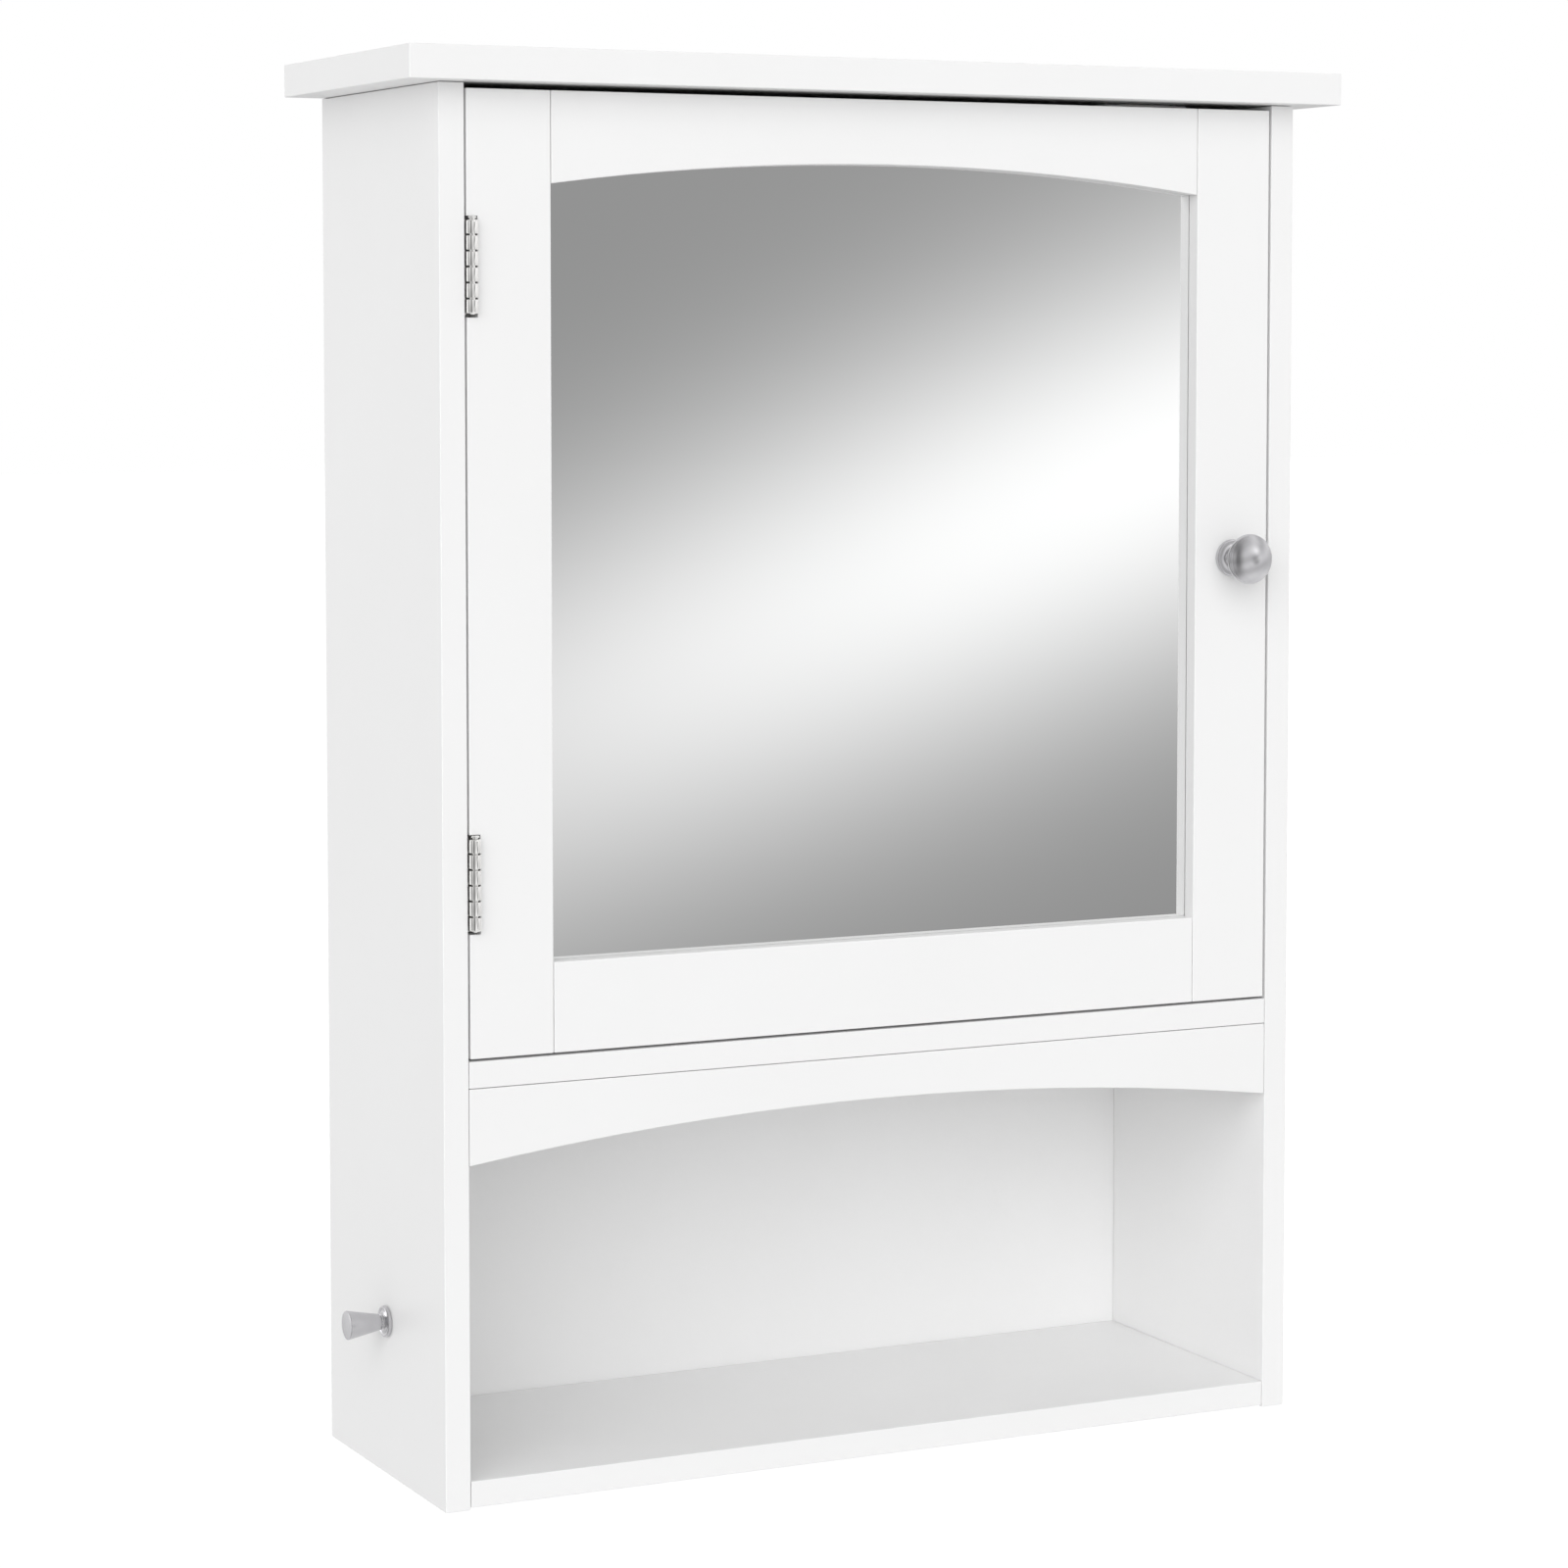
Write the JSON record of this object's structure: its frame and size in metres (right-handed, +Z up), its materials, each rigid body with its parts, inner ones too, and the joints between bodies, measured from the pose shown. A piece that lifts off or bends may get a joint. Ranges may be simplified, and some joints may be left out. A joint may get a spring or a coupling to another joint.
{
  "type": "hanging wall cabinet",
  "caption": "Wall-hung bathroom cabinet with an overhanging top, a side-hinged mirrored door, an open bay under an arched apron, and a side peg.",
  "frame": {"origin": "centre of the hanging rail's rear face, on the wall plane", "axes": "+Z up, +Y into the wall, +X to the right of someone facing the mirror"},
  "size_m": [0.4793, 0.1728, 0.6503],
  "materials": {
    "white_paint": "smooth white paint, satin",
    "mirror": "silvered float glass",
    "hardboard": "bare hardboard",
    "bright_steel": "bright nickel-plated steel",
    "satin_nickel": "satin nickel",
    "zinc_steel": "zinc-plated steel",
    "white_plastic": "moulded, fine texture",
    "magnet": "ground ferrite"
  },
  "bodies": {
    "carcass": {"adjustable_shelf": "white_paint", "arched_apron": "white_paint", "back_panel": "white_paint", "back_screw_lower_left": "zinc_steel", "back_screw_lower_right": "zinc_steel", "back_screw_middle_left": "zinc_steel", "back_screw_middle_right": "zinc_steel", "bottom_panel": "white_paint", "catch_housing": "white_plastic", "catch_magnet": "magnet", "catch_screw_left": "zinc_steel", "catch_screw_right": "zinc_steel", "hanger_plate_left": "zinc_steel", "hanger_plate_right": "zinc_steel", "hanger_screw_left_lower": "zinc_steel", "hanger_screw_left_upper": "zinc_steel", "hanger_screw_right_lower": "zinc_steel", "hanger_screw_right_upper": "zinc_steel", "hanging_rail": "white_paint", "hinge_cabinet_leaf_lower": "bright_steel", "hinge_cabinet_leaf_upper": "bright_steel", "hinge_cabinet_screw_lower_bottom": "bright_steel", "hinge_cabinet_screw_lower_top": "bright_steel", "hinge_cabinet_screw_upper_bottom": "bright_steel", "hinge_cabinet_screw_upper_top": "bright_steel", "hinge_pin_lower": "bright_steel", "hinge_pin_upper": "bright_steel", "middle_panel": "white_paint", "shelf_pin_left_front": "zinc_steel", "shelf_pin_left_rear": "zinc_steel", "shelf_pin_right_front": "zinc_steel", "shelf_pin_right_rear": "zinc_steel", "side_panel_left": "white_paint", "side_panel_right": "white_paint", "top_panel": "white_paint", "towel_peg": "satin_nickel", "towel_peg_screw": "zinc_steel"},
    "door": {"door_bottom_rail": "white_paint", "door_knob": "satin_nickel", "door_knob_screw": "zinc_steel", "door_stile_left": "white_paint", "door_stile_right": "white_paint", "door_top_rail": "white_paint", "hinge_door_leaf_lower": "bright_steel", "hinge_door_leaf_upper": "bright_steel", "hinge_door_screw_lower_bottom": "bright_steel", "hinge_door_screw_lower_top": "bright_steel", "hinge_door_screw_upper_bottom": "bright_steel", "hinge_door_screw_upper_top": "bright_steel", "mirror_backing": "hardboard", "mirror_clip_left_lower": "white_plastic", "mirror_clip_left_upper": "white_plastic", "mirror_clip_right_lower": "white_plastic", "mirror_clip_right_upper": "white_plastic", "mirror_clip_screw_left_lower": "zinc_steel", "mirror_clip_screw_left_upper": "zinc_steel", "mirror_clip_screw_right_lower": "zinc_steel", "mirror_clip_screw_right_upper": "zinc_steel", "mirror_glass": "mirror", "strike_plate": "zinc_steel"}
  },
  "joints": [
    {"name": "door_hinge", "type": "hinge", "parent": "carcass", "child": "door", "pos_m": [-0.20545, -0.1501, 0], "axis": [0, 0, -1], "range_deg": [0, 180]}
  ]
}
